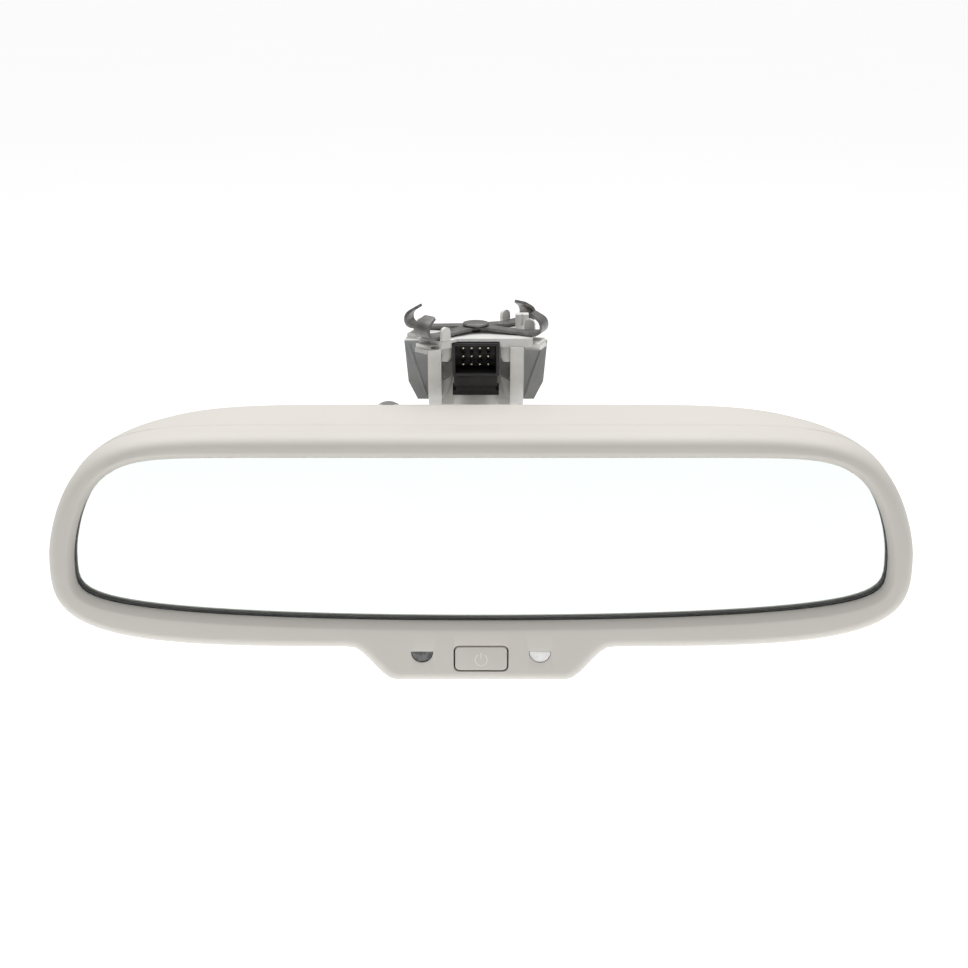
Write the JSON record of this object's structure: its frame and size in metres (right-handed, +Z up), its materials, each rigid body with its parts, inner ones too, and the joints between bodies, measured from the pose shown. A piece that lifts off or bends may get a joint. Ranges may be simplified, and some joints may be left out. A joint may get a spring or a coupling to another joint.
{
  "type": "interior rearview mirror",
  "caption": "Auto-dimming interior rearview mirror: rounded wide head with a sensor chin and push button, on a ball joint under a spring-claw windscreen foot with a plug.",
  "frame": {"origin": "middle of the top of the clip rivet, where the windscreen plate seats", "axes": "+Z up out of the windscreen seat, +X along the head's width, -Y the way the glass faces"},
  "size_m": [0.251, 0.0647, 0.1029],
  "materials": {
    "cast_metal": "bead-blasted die casting",
    "spring_steel": "dark phosphate",
    "white_plastic": "natural nylon",
    "screw_steel": "zinc plated",
    "black_plastic": "fine grain",
    "pin_metal": "bright",
    "black_rubber": "matt",
    "grey_plastic": "fine grain",
    "shell_plastic": "fine grain, warm light grey",
    "clear_glass": "polished",
    "gel": "clear",
    "seal_grey": "cured epoxy",
    "mirror_coat": "silvered",
    "foam": "closed-cell foam",
    "board": "solder mask",
    "can_metal": "can",
    "symbol_white": "print",
    "led_resin": "clear resin",
    "lens_white": "polished",
    "lens_dark": "polished",
    "lens_grey": "smoked"
  },
  "bodies": {
    "mount": {"foot_casting": "cast_metal", "claw_clip": "spring_steel", "clip_rivet": "spring_steel", "claw_guides": "white_plastic", "ball_stem": "cast_metal", "stem_screw": "screw_steel", "plug_shell": "black_plastic", "plug_pins": "pin_metal", "cable_plug": "black_plastic", "cable_boot": "black_rubber", "upper_cable": "black_rubber"},
    "inner_ring": {"inner_liner": "white_plastic"},
    "outer_ring": {"outer_liner": "grey_plastic"},
    "head": {"front_cup": "grey_plastic", "rear_cap": "grey_plastic", "cap_screws": "screw_steel", "rear_housing": "shell_plastic", "front_bezel": "shell_plastic", "front_glass": "clear_glass", "dimming_gel": "gel", "cell_seal": "seal_grey", "rear_glass": "mirror_coat", "bus_clips": "pin_metal", "foam_tape": "foam", "glass_carrier": "grey_plastic", "circuit_board": "board", "board_screws": "screw_steel", "board_chips": "black_plastic", "board_capacitors": "can_metal", "board_resistors": "black_plastic", "board_socket": "white_plastic", "lower_cable": "black_rubber", "switch_body": "black_plastic", "switch_dome": "pin_metal", "indicator_led": "led_resin", "indicator_lens": "lens_white", "glare_sensor": "black_plastic", "glare_lens": "lens_dark", "road_sensor": "black_plastic", "road_lens": "lens_grey"},
    "button": {"push_button": "shell_plastic", "button_symbol": "symbol_white"},
    "plunger": {"switch_plunger": "white_plastic"}
  },
  "joints": [
    {"name": "head_swing", "type": "hinge", "parent": "mount", "child": "inner_ring", "pos_m": [0, -0.02, -0.045], "axis": [0, 0, 1], "range_deg": [-15, 15]},
    {"name": "head_roll", "type": "hinge", "parent": "inner_ring", "child": "outer_ring", "pos_m": [0, -0.02, -0.045], "axis": [0, 1, 0], "range_deg": [-5, 5]},
    {"name": "head_tilt", "type": "hinge", "parent": "outer_ring", "child": "head", "pos_m": [0, -0.02, -0.045], "axis": [1, 0, 0], "range_deg": [-10, 12]},
    {"name": "button_press", "type": "slide", "parent": "head", "child": "button", "axis": [0, 1, 0], "range_m": [0, 0.0005], "stiffness_N_per_m": 3000},
    {"name": "plunger_press", "type": "slide", "parent": "head", "child": "plunger", "axis": [0, 1, 0], "range_m": [0, 0.0005]}
  ],
  "couplings": [
    {"joint": "plunger_press", "follows": "button_press", "ratio": 1}
  ]
}
